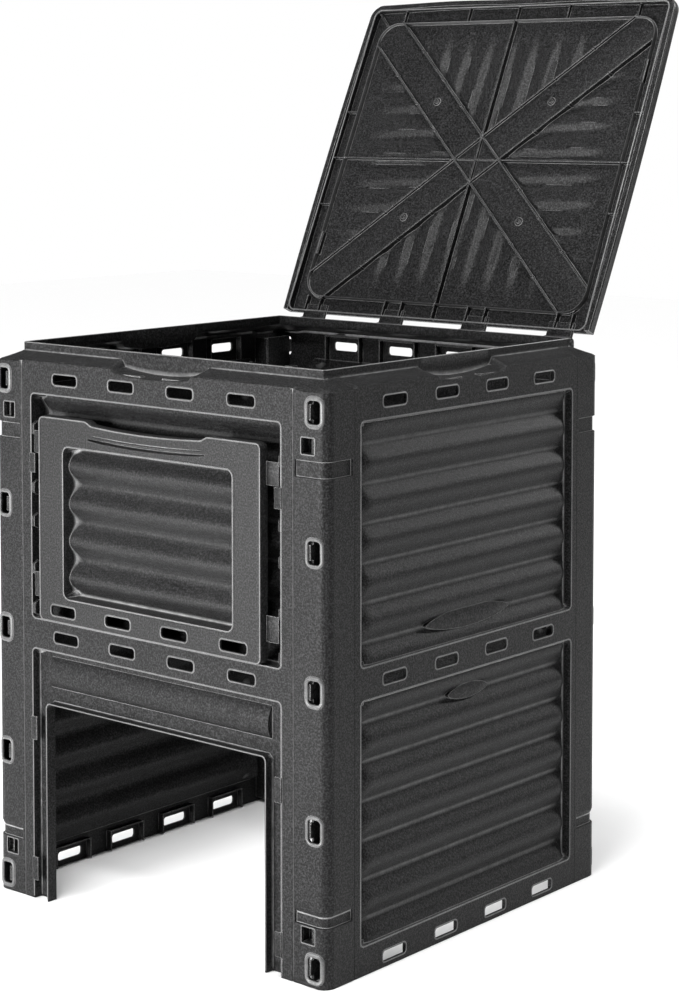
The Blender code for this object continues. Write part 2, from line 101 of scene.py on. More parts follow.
# The lip: share of its height, and how far its rounded edge is set back.
LIP_ROWS = ((0.4, 0.0), (0.97, 0.0), (1.0, 0.5))

# Windows and corrugation.
WINDOW_HALF = 232.4
WINDOW_R = 7.0
UPPER_WINDOW = (402.0, 715.6)
LOWER_WINDOW = (39.5, 356.4)
PITCH = 51.5
UPPER_CREST_Z = 711.5
LOWER_CREST_Z = 351.0
SIDE_WAVE = (2.5, 13.5)
SIDE_FULLNESS = 0.8
FRONT_WAVE = (20.0, 33.0)
WAVE_FADE = 14.0
EDGE = 2.2
ARCH_HALF = 205.3
ARCH_TOP = 281.0
ARCH_R = 7.0
ARCH_RIM = 2.7
ARCH_RECESS = 12.5
BULGE = (304.0, 347.0)
BULGE_HEIGHT = 8.0
BULGE_SKEW = 0.8
BELOW_FLOOR = -60.0
WINDOW_RIM = 1.5
ARCH_CUT = (40.0, 10.0)
BADGES = ((430.0, 92.0, 14.0), (328.0, 44.0, 10.5))
BADGE_W = (13.0, 6.5)
LEAF_POINT = 0.35

# Openings in the panels.
SLOT_X = (-165.2, -55.2, 55.2, 165.2)
SLOT_SIZE = (47.0, 13.5, 4.5)
SLOT_CUT = 12.0
SLOT_RIM = 1.2
SLOT_Z = (14.3, 378.8, 739.0)
LOOP_X = 289.4
LOOP_Z = (24.6, 201.9, 379.2, 556.5, 733.8)
LOOP_HOLE = (19.5, 30.0, 5.0)
LOOP_CUT = (22.0, 6.0)
LOOP_RINGS = (((25.5, 36.0, 8.5), 5.2, 2.3), ((24.5, 35.0, 8.5), 4.0, 1.9))
HOLE_RIM = 0.8
PEG_X = 279.0
PEG_SIZE = (21.5, 20.5, 1.5)
PEG_Z = (65.5, 690.5)
PEG_CUT = (14.0, 6.0)
CUP_WALL = 1.6
CUP_W = (16.0, 2.0)
POCKET_HALF = 34.0
POCKET_Z = (-22.0, 15.0)
POCKET_W = (13.0, 11.0, 2.5)
POCKET_WALL = 2.0
GROOVES = ((78.0, 100.0), (650.0, 672.5))
GROOVE_X = 257.0
GROOVE_END = 250.0
GROOVE_DEPTH = 5.0
GROOVE_STEP = (1.2, 1.4)
GROOVE_SLOPE = 14.0

# Inner flanges of the side panels, and the tongues on them.
FLANGE_INSET = 28.5
FLANGE_THICK = 3.0
FLANGE_Z = (6.0, 750.0)
FLANGE_ROOT = SEAM - 3.0
FLANGE_END = HALF_D - 5.0
TONGUE_HALF = 10.0
TONGUE_END = HALF_D + 1.0
NOTCH_MARGIN = 5.0
NOTCH_END = HALF_D - 11.0
WEB = (SEAM - 4.2, SEAM - 1.2)

# Door, its lugs and the stops on the front panel.
DOOR_HALF = 208.0
DOOR_TOP = 689.0
DOOR_R = 9.0
DOOR_INNER = (157.5, 440.0, 648.0, 9.0)
DOOR_WAVE = (9.0, 22.0)
DOOR_PITCH = 51.8
DOOR_CREST_Z = 466.0
DOOR_SLOTS = (-160.0, -53.0, 53.0, 160.0)
DOOR_SLOT_Z = 420.0
DOOR_DIP = (116.0, 9.3)
DOOR_THICK = 14.0
DOOR_RIM = ((0.0, DOOR_THICK), (0.0, 2.0), (0.6, 0.6), (2.0, 0.0))
DOOR_STEP = 4.0
DOOR_DIP_LINES = (104.0, 108.0, 112.0)
DOOR_GROOVE_ROWS = range(657, 675, 3)
DOOR_BEND = 30.0
CRESCENT = (110.0, 664.0, 3.3, 3.1)
CRESCENT_DEPTH = 9.0
CREASE_ABOVE = 8.0
LUG_X = (205.5, 229.0)
LUG_W = (HALF_D - 4.2, HALF_D - 1.0)
STOP_X = (224.0, 235.5)
STOP_W = (HALF_D - 1.0, HALF_D + 2.3)
RAMP_X = (WINDOW_HALF - 3.6, WINDOW_HALF + 1.0)
RAMP_W = (HALF_D - 0.5, HALF_D - 9.0)
RAMP_HALF = (7.0, 11.0)
RAMP_Z = (666.5, 584.0, 537.0, 470.0, 414.0)
LUG_Z = ((432.0, 466.5), (634.0, 665.0))
REST_Z = (606.0, 633.6)
KEEPER_Z = ((26.5, 60.0), (227.5, 261.0))

# Lid.
LID_HALF = 294.5
LID_FRONT = -560.5
LID_REAR = -20.0
LID_BULGE = (4.5, 4.0)
LID_R = 21.0
LID_RIM = 8.5
LID_PITCH = 43.0
LID_WAVE = 3.2
LID_FADE = 75.0
LID_TOP = 17.0
LID_UNDER = 14.0
LID_EDGE = ((0.0, 0.0), (-0.6, 3.5), (0.0, 4.5), (0.2, 13.0), (0.9, 15.6), (2.6, LID_TOP))
LID_STEP = 3.5
RING = (268.0, -530.0, -47.5, 34.0)
REAR_RIB_X = (-256.0, -228.0, -97.0, -64.0, 0.0, 64.0, 97.0, 228.0, 256.0)
FRONT_RIB_X = (-228.0, -97.0, 0.0, 97.0, 228.0)
SIDE_RIB_Y = (-82.0, 0.0, 82.0)
SHORT_RIB_DROP = 6.0
CROSS_RIB_DROP = 7.0
CLIP_Y = 150.0
CLIP_HALF = (3.0, 19.0)
KNOTS = (-0.72, -0.5, -0.3, 0.3, 0.5, 0.72)
BOSS_AT = 150.0
BAR_HALF = 29.0
BAR_DROP = 4.6
RIB_DROP = 9.0
KNUCKLE_X = (-237.0, -80.0, 80.0, 237.0)
KNUCKLE_HALF = 22.0
KNUCKLE_ARM = ((-5.0, -3.0), (-12.0, 10.0), (-34.0, 10.5), (-34.0, 15.5), (-6.0, 15.5), (5.0, 3.0))
EAR_GAP = 0.6
EAR_THICK = 11.0
EAR_HALF = 6.4
EAR_FOOT = (765.5, 762.5)
BARREL_R = 6.5
PIN_R = 4.0
PIN_PAST_EAR = 2.0

# The materials of a piece: painted highlight along edges and crests, painted highlight along edges only,
# and rims painted lighter as a highlight.
FINE, PLAIN, RIM = range(3)


# ---------------------------------------------------------------- shape helpers

class Shape:
    """Closed bodies, in millimetres, gathered as points and faces."""

    def __init__(self):
        self.points = []
        self.faces = []

    def add(self, points, faces):
        base = len(self.points)
        self.points += [tuple(float(c) for c in p) for p in points]
        self.faces += [tuple(base + int(i) for i in f) for f in faces]
        return self

    def mesh(self, name):
        mesh = bpy.data.meshes.new(name)
        mesh.from_pydata(self.points, [], self.faces)
        bm = bmesh.new()
        bm.from_mesh(mesh)
        bmesh.ops.remove_doubles(bm, verts=bm.verts, dist=0.0005)
        bmesh.ops.recalc_face_normals(bm, faces=bm.faces)
        bm.to_mesh(mesh)
        bm.free()
        return mesh


def smooth(t):
    t = np.clip(t, 0.0, 1.0)
    return t * t * (3.0 - 2.0 * t)


def rounded_box(u, z, half, low, high, radius):
    """Signed distance to a rectangle with rounded corners, negative inside."""
    radius = min(radius, 0.5 * (high - low))
    qx = np.abs(u) - half + radius
    qz = np.abs(z - 0.5 * (low + high)) - 0.5 * (high - low) + radius
    outside = np.hypot(np.maximum(qx, 0.0), np.maximum(qz, 0.0))
    return outside + np.minimum(np.maximum(qx, qz), 0.0) - radius


def inside(distance, width=EDGE):
    """1 inside, 0 outside, with a rounded step of the given width at the border."""
    return smooth(0.5 - distance / width)


def wave(z, crest_z, pitch, crest, trough, fullness=1.0):
    """Corrugation depth; a fullness below 1 gives broad crests and narrow troughs."""
    rise = 0.5 * (1.0 + np.cos(2.0 * np.pi * (z - crest_z) / pitch))
    return trough + (crest - trough) * rise ** fullness


def stations(edges, low, high, step, width=EDGE):
    """Grid lines: close together at each edge, and no more than a step apart elsewhere."""
    offsets = (-0.75, -0.5, -0.25, 0.0, 0.25, 0.5, 0.75)
    lines = {low, high}
    for edge in edges:
        lines |= {edge + width * o for o in offsets if low < edge + width * o < high}
    ordered = sorted(lines)
    kept = [ordered[0]]
    for line in ordered[1:]:
        if line - kept[-1] < 0.2:
            continue
        count = max(1, math.ceil((line - kept[-1]) / step))
        start = kept[-1]
        kept += [start + (line - start) * k / count for k in range(1, count + 1)]
    return np.array(kept)


def from_ends(count):
    """How many grid lines each line is away from the nearer end."""
    return np.minimum(np.arange(count), count - 1 - np.arange(count))


def shell(outer, inner):
    """One closed body between two matching grids of points."""
    n_u, n_v = outer.shape[:2]
    index = np.arange(n_u * n_v).reshape(n_u, n_v)
    a, b, c, d = index[:-1, :-1], index[1:, :-1], index[1:, 1:], index[:-1, 1:]
    quads = np.stack([a, b, c, d], -1).reshape(-1, 4)
    loop = np.concatenate([index[:, 0], index[-1, 1:], index[-2::-1, -1], index[0, -2:0:-1]])
    after = np.roll(loop, -1)
    far = n_u * n_v
    edge = np.stack([after, loop, loop + far, after + far], -1)
    faces = np.concatenate([quads, quads[:, ::-1] + far, edge])
    return np.concatenate([outer.reshape(-1, 3), inner.reshape(-1, 3)]), faces


def prism(outline, low, high, place):
    """Straight body between two levels of an outline; place(a, b, level) gives each point."""
    count = len(outline)
    points = [place(a, b, low) for a, b in outline] + [place(a, b, high) for a, b in outline]
    faces = [tuple(range(count)), tuple(range(2 * count - 1, count - 1, -1))]
    faces += [(k, k + count, (k + 1) % count + count, (k + 1) % count) for k in range(count)]
    return points, faces


def upright(a, b, level):
    """Outline seen from above."""
    return (a, b, level)


def facing(a, b, level):
    """Outline seen from in front of its panel, with the level outwards."""
    return (a, level, b)


def crosswise(a, b, level):
    """Outline seen from the side, with the level along x."""
    return (level, a, b)


def box(low, high):
    outline = [(low[0], low[1]), (high[0], low[1]), (high[0], high[1]), (low[0], high[1])]
    return prism(outline, low[2], high[2], upright)


def side_box(side, x_range, low, high):
    """Box on one side of the middle; low and high hold its other two coordinates."""
    near, far = sorted(side * x for x in x_range)
    return box((near, *low), (far, *high))


def grown(size, by):
    """Width, height and corner radius of a rounded opening, grown by as much all round."""
    width, height, radius = size
    return width + 2.0 * by, height + 2.0 * by, radius + by


def rounded_outline(u, z, width, height, radius, steps=6):
    """Points round a rectangle with rounded corners."""
    radius = min(radius, 0.5 * width - 0.01, 0.5 * height - 0.01)
    points = []
    for turn in range(4):
        sx, sz = ((1, 1), (-1, 1), (-1, -1), (1, -1))[turn]
        centre = (u + sx * (0.5 * width - radius), z + sz * (0.5 * height - radius))
        for k in range(steps + 1):
            angle = 0.5 * math.pi * (turn + k / steps)
            points.append((centre[0] + radius * math.cos(angle), centre[1] + radius * math.sin(angle)))
    return points


def tube(path, across, height, closed=True, sides=8):
    """Bead along a path of (point, outward normal) pairs, flattened to across by height."""
    count = len(path)
    rings = []
    for k in range(count):
        before = path[k - 1 if closed or k else 0][0]
        after = path[(k + 1) % count if closed or k + 1 < count else k][0]
        along = Vector(after) - Vector(before)
        along.normalize()
        normal = Vector(path[k][1])
        side = along.cross(normal).normalized()
        ring = []
        for s in range(sides):
            turn = 2.0 * math.pi * s / sides
            ring.append(Vector(path[k][0]) + side * (0.5 * across * math.cos(turn))
                        + normal * (height * math.sin(turn)))
        rings.append(ring)
    points = [p for ring in rings for p in ring]
    faces = []
    for k in range(count if closed else count - 1):
        n = (k + 1) % count
        for s in range(sides):
            t = (s + 1) % sides
            faces.append((k * sides + s, k * sides + t, n * sides + t, n * sides + s))
    if not closed:
        faces.append(tuple(range(sides)))
        faces.append(tuple(range(count * sides - 1, (count - 1) * sides - 1, -1)))
    return points, faces


def rod(radius, low, high, centre, sides=40):
    """Round bar along x about centre (y, z)."""
    outline = [(centre[0] + radius * math.cos(2.0 * math.pi * k / sides),
                centre[1] + radius * math.sin(2.0 * math.pi * k / sides)) for k in range(sides)]
    return prism(outline, low, high, crosswise)


def linked(name, data):
    """New object in the scene."""
    obj = bpy.data.objects.new(name, data)
    bpy.context.scene.collection.objects.link(obj)
    return obj


def as_object(shape, name):
    return linked(name, shape.mesh(name))


def bake(obj):
    """Apply the modifiers of an object to its mesh."""
    bpy.context.view_layer.update()
    graph = bpy.context.evaluated_depsgraph_get()
    mesh = bpy.data.meshes.new_from_object(obj.evaluated_get(graph))
    old = obj.data
    obj.modifiers.clear()
    obj.data = mesh
    bpy.data.meshes.remove(old)
    return obj


def cut(obj, cutter_shape):
    """Take closed cutters out of an object."""
    cutter = as_object(cutter_shape, obj.name + "_cutter")
    mod = obj.modifiers.new("cut", "BOOLEAN")
    mod.operation = "DIFFERENCE"
    mod.solver = "MANIFOLD"
    mod.object = cutter
    bake(obj)
    bpy.data.objects.remove(cutter, do_unlink=True)


def bevelled(shape, name, width=0.8, segments=2):
    obj = as_object(shape, name)
    mod = obj.modifiers.new("bevel", "BEVEL")
    mod.width = width
    mod.segments = segments
    mod.limit_method = "ANGLE"
    mod.angle_limit = math.radians(35.0)
    return bake(obj)


def merge(objects, name):
    """Join objects into a single piece."""
    bm = bmesh.new()
    for obj in objects:
        bm.from_mesh(obj.data)
        bpy.data.objects.remove(obj, do_unlink=True)
    mesh = bpy.data.meshes.new(name)
    bm.to_mesh(mesh)
    bm.free()
    return linked(name, mesh)


def made_of(obj, index):
    """Give all of an object's faces one of its piece's three materials."""
    for polygon in obj.data.polygons:
        polygon.material_index = index
    return obj


def finish_piece(piece, matrix, node, body, materials):
    piece.data.transform(matrix)
    for material in materials:
        piece.data.materials.append(material)
    for polygon in piece.data.polygons:
        polygon.use_smooth = True
    piece.data.set_sharp_from_angle(angle=math.radians(38.0))
    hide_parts(node)
    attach(piece, body)


# ---------------------------------------------------------------- the panels

def groove_depth(s, z):
    """Depth of the two bands that run round each corner post."""
    side_step, edge_step = GROOVE_STEP
    end = 0.5 * math.pi * CORNER_R + (HALF_W - CORNER_R) + (HALF_D - CORNER_R) - GROOVE_END
    across = smooth((np.abs(s) - GROOVE_X) / side_step) * smooth((end - np.abs(s)) / side_step)
    (low_0, low_1), (high_0, high_1) = GROOVES
    soft = smooth((z - low_0) / edge_step) * smooth((low_1 - z) / GROOVE_SLOPE)
    crisp = smooth((z - high_0) / edge_step) * smooth((high_1 - z) / edge_step)
    return GROOVE_DEPTH * across * np.maximum(soft, crisp)


def wall_depth(s, z):
    """Corrugated windows of a side or back panel; the waves flatten out at their ends."""
    trough = SIDE_WAVE[1]
    fade = smooth((WINDOW_HALF - 1.0 - np.abs(s)) / WAVE_FADE)
    depth = np.zeros_like(s)
    for (low, high), crest_z in ((UPPER_WINDOW, UPPER_CREST_Z), (LOWER_WINDOW, LOWER_CREST_Z)):
        mask = inside(rounded_box(s, z, WINDOW_HALF, low, high, WINDOW_R))
        ripple = wave(z, crest_z, PITCH, *SIDE_WAVE, SIDE_FULLNESS)
        depth = depth + mask * (trough + (ripple - trough) * fade)
    return depth


def leaf_badge(shape, centre, half, tall, plane):
    """Blank leaf-shaped plate standing in the corrugation."""
    outline = []
    for turn in np.linspace(0.0, 2.0 * np.pi, 72, endpoint=False):
        rise = math.sin(turn) * abs(math.sin(turn)) ** LEAF_POINT
        outline.append((half * math.cos(turn), centre + tall * rise))
    shape.add(*prism(outline, plane - BADGE_W[0], plane - BADGE_W[1], facing))


def front_depth(s, z):
    """Corrugated upper window, lower recess, and the bulge that stands out above the arch."""
    upper = inside(rounded_box(s, z, WINDOW_HALF, *UPPER_WINDOW, WINDOW_R))
    depth = upper * wave(z, UPPER_CREST_Z, PITCH, *FRONT_WAVE)
    recess = inside(rounded_box(s, z, WINDOW_HALF, BELOW_FLOOR, LOWER_WINDOW[1], WINDOW_R))
    depth = depth + recess * ARCH_RECESS
    turn = np.clip((z - BULGE[0]) / (BULGE[1] - BULGE[0]), 0.0, 1.0)
    along = smooth((ARCH_HALF + 3.0 - np.abs(s)) / 1.6)
    return depth - BULGE_HEIGHT * along * np.sin(np.pi * turn ** BULGE_SKEW) ** BULGE_SKEW


def front_outer_depth(s, z):
    """The front's outside, where a flat rim follows the arch at the level of the face."""
    rim = rounded_box(s, z, ARCH_HALF + ARCH_RIM, BELOW_FLOOR, ARCH_TOP + ARCH_RIM, ARCH_R + ARCH_RIM)
    depth = front_depth(s, z) * (1.0 - inside(rim, 1.4))
    return depth + groove_depth(s, z) + crease_depth(s)


def crease_depth(s):
    """Faint line where each post is a little prouder than the panel."""
    return 0.9 * np.exp(-((np.abs(s) - CREASE_X) / 1.3) ** 2)


def back_outer_depth(s, z):
    return wall_depth(s, z) + groove_depth(s, z) + crease_depth(s)


def scoop(s, half):
    """Share of a finger scoop's full drop: a quick step at each end, then a shallow arc."""
    t = np.abs(s) / half
    return smooth((1.0 - t) / 0.12) * (0.5 + 0.5 * np.clip(1.0 - t * t, 0.0, 1.0))


def face_top(s, posts, scooped):
    """Height of the face's top edge, lower in the scoop and towards the corners."""
    half, drop = EDGE_SCOOP
    top = FACE_TOP - drop * scoop(s, half) * scooped
    low, high = POST_DIP if posts else SIDE_DIP
    return top - (FACE_TOP - POST_TOP) * smooth((np.abs(s) - low) / (high - low))


def post_path(s, inset):
    """Plan position of a point at a distance s along the face and round the corner post."""
    flat = HALF_W - CORNER_R
    arc = 0.5 * math.pi * CORNER_R
    side = np.sign(s)
    run = np.abs(s)
    angle = np.clip((run - flat) / CORNER_R, 0.0, 0.5 * math.pi)
    radius = CORNER_R - inset
    x = np.minimum(run, flat) + radius * np.sin(angle)
    w = HALF_D - CORNER_R + radius * np.cos(angle) - np.maximum(run - flat - arc, 0.0)
    return side * x, w


def lip_path(s, inset):
    """Plan position at the lip, where the post's whole side run folds into a short return."""
    flat = HALF_W - CORNER_R
    arc = 0.5 * math.pi * CORNER_R
    side = np.sign(s)
    run = np.abs(s)
    limit = HALF_W - inset - LIP_CORNER_R
    share = np.clip((run - LIP_KNEE) / (flat - LIP_KNEE), 0.0, 1.0)
    x = np.where(run < LIP_KNEE, run, LIP_KNEE + (limit - LIP_KNEE) * share)
    angle = np.clip((run - flat) / CORNER_R, 0.0, 0.5 * math.pi)
    x = x + LIP_CORNER_R * np.sin(angle)
    last = HALF_D - CORNER_R - SEAM
    back = np.clip((run - flat - arc) / last, 0.0, 1.0) * (LIP_RETURN - LIP_CORNER_R)
    w = HALF_D - inset - LIP_CORNER_R + LIP_CORNER_R * np.cos(angle) - back
    return side * x, w


def body_grid(lines, rows, depth_of, inner_depth_of, path, path_at_lip, posts, scooped):
    """Outer and inner point grids of a panel: face rows, then shoulder, then lip."""
    s, z = np.meshgrid(lines, rows, indexing="ij")
    edge = face_top(lines, posts, scooped)
    base = LIP_BASE - LIP_SCOOP[1] * scoop(lines, LIP_SCOOP[0]) * scooped
    squeeze = smooth((z - (rows[-1] - TOP_SQUEEZE)) / TOP_SQUEEZE)
    face_z = z + (edge[:, None] - rows[-1]) * squeeze
    grids = []
    for skin, depth in ((0.0, depth_of(s, z)), (WALL, inner_depth_of(s, z) + WALL)):
        x, w = path(s, depth)
        low_x, low_w = path(lines, np.full_like(lines, skin))
        high_x, high_w = path_at_lip(lines, np.full_like(lines, LIP_INSET + skin))
        upper = []
        for share, lift in CAP:
            cap_x = low_x + (high_x - low_x) * share
            cap_w = low_w + (high_w - low_w) * share
            level = edge + (base - edge) * share + lift - CAP_DROP * skin
            upper.append(np.stack([cap_x, cap_w, level], -1))
        for rise, back in LIP_ROWS:
            inset = LIP_INSET + (LIP_WALL - back if skin else back)
            tip_x, tip_w = path_at_lip(lines, np.full_like(lines, inset))
            upper.append(np.stack([tip_x, tip_w, base + (LIP_TOP - base) * rise], -1))
        grids.append(np.concatenate([np.stack([x, w, face_z], -1), np.stack(upper, 1)], 1))
    return grids


def face_rows(extra):
    edges = [*UPPER_WINDOW, *LOWER_WINDOW, *(z for pair in GROOVES for z in pair), *extra]
    return stations(edges, 0.0, FACE_TOP, PITCH / 14.0)


def face_lines(reach, extra):
    edges = [side * x for x in (WINDOW_HALF, *SCOOP_LINES, *extra) for side in (-1, 1)]
    return stations(edges, -reach, reach, 9.0)


def slots(cutters, beads, levels, plane):
    """Rows of slots through a panel, each with a rim bead painted pale as a highlight."""
    for x in SLOT_X:
        for z in levels:
            outline = rounded_outline(x, z, *SLOT_SIZE)
            cutters.add(*prism(outline, plane - SLOT_CUT, plane + SLOT_CUT, facing))
            flat_bead(beads, rounded_outline(x, z, *grown(SLOT_SIZE, SLOT_RIM)), plane)


def flat_bead(shape, outline, plane, across=1.8, height=0.8):
    shape.add(*tube([((a, plane, b), (0.0, 1.0, 0.0)) for a, b in outline], across, height))


def window_bead(shape, half, low, high, radius, plane, margin=WINDOW_RIM):
    """Bead just outside an opening; one that runs through the bottom edge is left open there."""
    half, low, high = half + margin, low - margin, high + margin
    outline = rounded_outline(0.0, 0.5 * (low + high), 2.0 * half, high - low, radius)
    if low > 0.0:
        flat_bead(shape, outline, plane, height=0.7)
        return
    path = [(half, 3.0)] + [(a, b) for a, b in outline if b > 0.0] + [(-half, 3.0)]
    shape.add(*tube([((a, plane, b), (0.0, 1.0, 0.0)) for a, b in path], 1.8, 0.7, False))


def lip_bead(shape, lines, path_at_lip):
    """Rolled edge along the top of the lip."""
    x, w = path_at_lip(lines, np.full_like(lines, LIP_INSET + 1.0))
    path = [((float(a), float(b), LIP_TOP - 0.3), (0.0, 0.0, 1.0)) for a, b in zip(x, w)]
    shape.add(*tube(path, 2.6, 0.9, False))


def post_point(s, z):
    """Point on a post's skin and its outward normal."""
    x, w = post_path(np.array([s]), np.array([0.0]))
    angle = min(max((abs(s) - (HALF_W - CORNER_R)) / CORNER_R, 0.0), 0.5 * math.pi)
    return (float(x[0]), float(w[0]), z), (math.copysign(math.sin(angle), s), math.cos(angle), 0.0)


def post_ring(shape, s, z, size, across, height):
    path = [post_point(a, b) for a, b in rounded_outline(s, z, *size)]
    shape.add(*tube(path, across, height))


def slot_pockets(shape, levels, plane):
    """Thin ribs that frame the slots on the inside of a panel."""
    deep, shelf, near = (plane - back for back in POCKET_W)
    for z in levels:
        bottom = max(z + POCKET_Z[0], 1.0)
        shelf_z = z + POCKET_Z[1]
        for x in SLOT_X:
            for side in (-1, 1):
                at = x + side * POCKET_HALF - 0.5 * POCKET_WALL
                shape.add(*box((at, deep, bottom), (at + POCKET_WALL, near, shelf_z + POCKET_WALL)))
            shape.add(*box((x - POCKET_HALF, shelf, shelf_z),
                           (x + POCKET_HALF, near, shelf_z + POCKET_WALL)))


def peg_cup(shape, x, z, plane):
    """Closed socket behind a peg hole."""
    half = 0.5 * PEG_SIZE[0] + 1.0
    tall = 0.5 * PEG_SIZE[1] + 1.0
    thin = 0.5 * CUP_WALL
    back, front = (plane - depth for depth in CUP_W)
    for side in (-1, 1):
        at = x + side * half
        shape.add(*box((at - thin, back, z - tall), (at + thin, front, z + tall)))
        level = z + side * tall
        shape.add(*box((x - half, back, level - thin), (x + half, front, level + thin)))
    shape.add(*box((x - half, back - 1.0, z - tall), (x + half, back - 1.0 + CUP_WALL, z + tall)))


def post_holes(cutters, beads, side):
    """Loops for the side panel's tongues, with raised rings, and square peg holes."""
    for k, z in enumerate(LOOP_Z):
        outline = rounded_outline(side * LOOP_X, z, *LOOP_HOLE)
        cutters.add(*prism(outline, HALF_D - LOOP_CUT[0], HALF_D + LOOP_CUT[1], facing))
        post_ring(beads, side * LOOP_X, z, *LOOP_RINGS[k % 2])
        post_ring(beads, side * LOOP_X, z, grown(LOOP_HOLE, HOLE_RIM), 1.8, 1.5)
    for z in PEG_Z:
        outline = rounded_outline(side * PEG_X, z, *PEG_SIZE)
        cutters.add(*prism(outline, HALF_D - PEG_CUT[0], HALF_D + PEG_CUT[1], facing))
        flat_bead(beads, rounded_outline(side * PEG_X, z, *grown(PEG_SIZE, HOLE_RIM)), HALF_D, 1.5, 0.5)


def with_fittings(name, shell_object, details, beads, bevel=0.8):
    """One piece out of a shell, its bevelled details and its rims, painted pale as a highlight."""
    fitted = made_of(bevelled(details, name + "_details", bevel), PLAIN)
    rims = made_of(as_object(beads, name + "_beads"), RIM)
    return merge([shell_object, fitted, rims], name)


def post_panel(name, node, turn, depth_of, inner_depth_of, is_front, materials):
    """Front or back moulding: panel, both corner posts, shoulder and lip."""
    flat = HALF_W - CORNER_R
    arc = 0.5 * math.pi * CORNER_R
    to_middle = flat + arc + HALF_D - CORNER_R
    extra = [GROOVE_X, CREASE_X, *POST_DIP, LIP_KNEE, flat, flat + 0.33 * arc, flat + 0.66 * arc]
    extra += [flat + arc, to_middle - GROOVE_END]
    rows_extra = []
    if is_front:
        extra += [ARCH_HALF, ARCH_HALF + ARCH_RIM]
        rows_extra = [ARCH_TOP, ARCH_TOP + ARCH_RIM, *BULGE]
    lines = face_lines(to_middle - SEAM, extra)
    grids = body_grid(lines, face_rows(rows_extra), depth_of, inner_depth_of, post_path, lip_path, True,
                      is_front)
    panel = as_object(Shape().add(*shell(*grids)), name)
    cutters = Shape()
    beads = Shape()
    details = Shape()
    slots(cutters, beads, SLOT_Z[1:] if is_front else SLOT_Z, HALF_D)
    slot_pockets(details, SLOT_Z[2:] if is_front else (SLOT_Z[0], SLOT_Z[2]), HALF_D)
    for side in (-1, 1):
        post_holes(cutters, beads, side)
        for z in PEG_Z:
            peg_cup(details, side * PEG_X, z, HALF_D)
        if is_front:
            door_stops(details, side)
    lip_bead(beads, lines, lip_path)
    window_bead(beads, WINDOW_HALF, *UPPER_WINDOW, WINDOW_R, HALF_D)
    low = BELOW_FLOOR if is_front else LOWER_WINDOW[0]
    window_bead(beads, WINDOW_HALF, low, LOWER_WINDOW[1], WINDOW_R, HALF_D)
    if is_front:
        window_bead(beads, ARCH_HALF, BELOW_FLOOR, ARCH_TOP, ARCH_R, HALF_D, 1.4)
        middle, tall = 0.5 * (ARCH_TOP + BELOW_FLOOR), ARCH_TOP - BELOW_FLOOR
        outline = rounded_outline(0.0, middle, 2.0 * ARCH_HALF, tall, ARCH_R)
        cutters.add(*prism(outline, HALF_D - ARCH_CUT[0], HALF_D + ARCH_CUT[1], facing))
    else:
        hinge_ears(details)
    cut(panel, cutters)
    piece = with_fittings(name, panel, details, beads)
    finish_piece(piece, to_world(turn), node, "bin", materials)


def door_stops(shape, side):
    """Rests under the parked lugs, keepers for the closed door, and small guide ramps."""
    for low, high in (REST_Z, *KEEPER_Z):
        shape.add(*side_box(side, STOP_X, (STOP_W[0], low), (STOP_W[1], high)))
    near, far = sorted(side * x for x in RAMP_X)
    for z in RAMP_Z:
        ramp = [(RAMP_W[0], z - RAMP_HALF[0]), (RAMP_W[0], z + RAMP_HALF[0]),
                (RAMP_W[1], z + RAMP_HALF[1]), (RAMP_W[1], z - RAMP_HALF[1])]
        shape.add(*prism(ramp, near, far, crosswise))


def hinge_ears(shape):
    """Two ears for each lid knuckle, drawn in the back panel's own turned frame."""
    axis_w = HINGE_Y - BODY_Y
    outline = [(axis_w - EAR_HALF, HINGE_Z), (axis_w - EAR_HALF, EAR_FOOT[0]),
               (axis_w + EAR_HALF, EAR_FOOT[1])]
    outline += [(axis_w + BARREL_R * math.cos(a), HINGE_Z + BARREL_R * math.sin(a))
                for a in np.linspace(0.0, math.pi, 13)]
    for centre in KNUCKLE_X:
        for side in (-1, 1):
            start = centre + side * (KNUCKLE_HALF + EAR_GAP)
            low, high = sorted((start, start + side * EAR_THICK))
            shape.add(*prism(outline, low, high, crosswise))


def side_panel(name, node, turn, materials):
    """Left or right moulding between the corner posts."""
    end = SEAM - SEAM_GAP

    def path(s, inset):
        return s, HALF_W - inset

    def path_at_lip(s, inset):
        limit = HALF_D - LIP_INSET - LIP_RETURN - SEAM_GAP
        share = np.clip((np.abs(s) - LIP_KNEE) / (end - LIP_KNEE), 0.0, 1.0)
        x = np.where(np.abs(s) < LIP_KNEE, np.abs(s), LIP_KNEE + (limit - LIP_KNEE) * share)
        return np.sign(s) * x, HALF_W - inset

    lines = face_lines(end, [LIP_KNEE])
    grids = body_grid(lines, face_rows([]), wall_depth, wall_depth, path, path_at_lip, False, True)
    panel = as_object(Shape().add(*shell(*grids)), name)
    cutters = Shape()
    beads = Shape()
    details = Shape()
    slots(cutters, beads, SLOT_Z, HALF_W)
    cut(panel, cutters)
    lip_bead(beads, lines, path_at_lip)
    for low, high in (UPPER_WINDOW, LOWER_WINDOW):
        window_bead(beads, WINDOW_HALF, low, high, WINDOW_R, HALF_W)
    slot_pockets(details, (SLOT_Z[0], SLOT_Z[2]), HALF_W)
    for front in (-1, 1):
        tongue_flange(details, front)
    for centre, half, tall in BADGES:
        leaf_badge(details, centre, half, tall, HALF_W)
    piece = with_fittings(name, panel, details, beads)
    finish_piece(piece, to_world(turn), node, "bin", materials)


